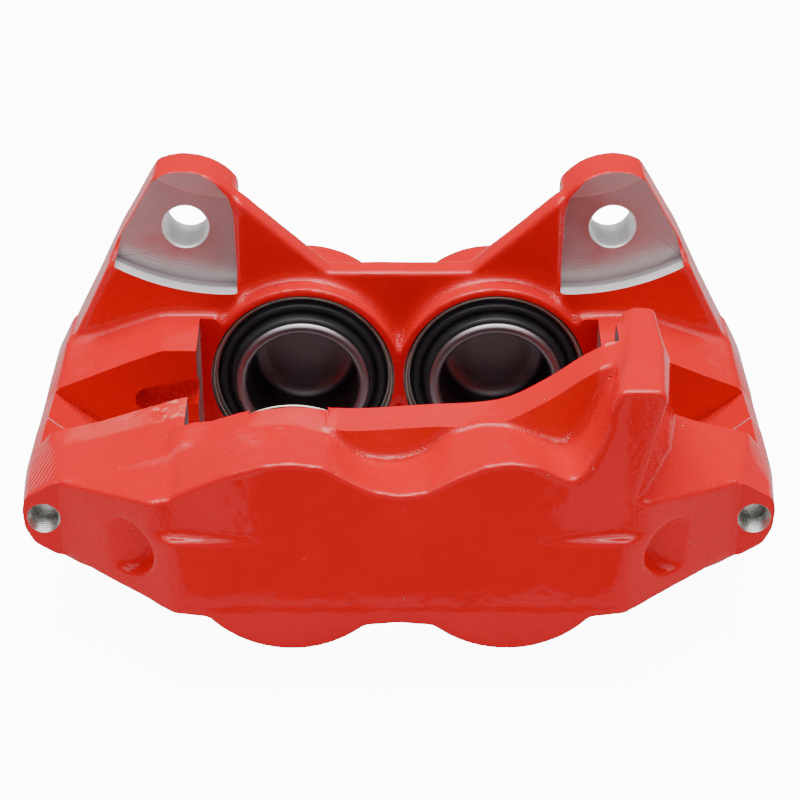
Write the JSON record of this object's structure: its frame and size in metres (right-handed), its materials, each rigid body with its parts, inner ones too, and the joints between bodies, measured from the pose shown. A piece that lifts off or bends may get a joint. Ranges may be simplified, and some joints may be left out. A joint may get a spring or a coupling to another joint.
{
  "type": "brake caliper",
  "caption": "Fixed opposed-piston disc brake caliper, two cast halves bolted over a disc slot, with mounting ears, cup pistons, dust boots and a bleeder screw.",
  "frame": {"origin": "on the disc's mid-plane, midway between the two piston axes of a half", "axes": "+Y inboard, away from the wheel, along the pistons; +Z towards the hub; +X to the side with the horn"},
  "size_m": [0.239, 0.1707, 0.1179],
  "materials": {
    "red_casting": "gloss red paint over a sand casting, bare machined faces",
    "piston_steel": "turned and ground",
    "boot_rubber": "semi-matt black rubber",
    "seal_rubber": "smooth black rubber",
    "ring_steel": "bright spring wire",
    "zinc_steel": "zinc plated"
  },
  "bodies": {
    "caliper_body": {"inboard_half": "red_casting", "outboard_half": "red_casting", "bridge_bolts": "zinc_steel", "crossover_seal": "seal_rubber", "piston_seal_inboard_left": "seal_rubber", "dust_boot_inboard_left": "boot_rubber", "boot_ring_inboard_left": "ring_steel", "piston_seal_inboard_right": "seal_rubber", "dust_boot_inboard_right": "boot_rubber", "boot_ring_inboard_right": "ring_steel", "piston_seal_outboard_left": "seal_rubber", "dust_boot_outboard_left": "boot_rubber", "boot_ring_outboard_left": "ring_steel", "piston_seal_outboard_right": "seal_rubber", "dust_boot_outboard_right": "boot_rubber", "boot_ring_outboard_right": "ring_steel"},
    "piston_inboard_left_body": {"piston_inboard_left": "piston_steel"},
    "piston_inboard_right_body": {"piston_inboard_right": "piston_steel"},
    "piston_outboard_left_body": {"piston_outboard_left": "piston_steel"},
    "piston_outboard_right_body": {"piston_outboard_right": "piston_steel"},
    "bleeder_screw_body": {"bleeder_screw": "zinc_steel"},
    "bleeder_cap_body": {"bleeder_cap": "boot_rubber"}
  },
  "joints": [
    {"name": "piston_inboard_left_slide", "type": "slide", "parent": "caliper_body", "child": "piston_inboard_left_body", "axis": [0, -1, 0], "range_m": [-0.002, 0.012], "deforming": ["dust_boot_inboard_left"]},
    {"name": "piston_inboard_right_slide", "type": "slide", "parent": "caliper_body", "child": "piston_inboard_right_body", "axis": [0, -1, 0], "range_m": [-0.002, 0.012], "deforming": ["dust_boot_inboard_right"]},
    {"name": "piston_outboard_left_slide", "type": "slide", "parent": "caliper_body", "child": "piston_outboard_left_body", "axis": [0, 1, 0], "range_m": [-0.002, 0.012], "deforming": ["dust_boot_outboard_left"]},
    {"name": "piston_outboard_right_slide", "type": "slide", "parent": "caliper_body", "child": "piston_outboard_right_body", "axis": [0, 1, 0], "range_m": [-0.002, 0.012], "deforming": ["dust_boot_outboard_right"]},
    {"name": "bleeder_turn", "type": "hinge", "parent": "caliper_body", "child": "bleeder_screw_body", "pos_m": [-0.0586, 0.0688, 0.008], "axis": [-0.769, 0.6392, 0], "range_deg": [0, 270]},
    {"name": "bleeder_cap_pull", "type": "slide", "parent": "bleeder_screw_body", "child": "bleeder_cap_body", "axis": [-0.769, 0.6392, 0], "range_m": [0, 0.014]}
  ]
}
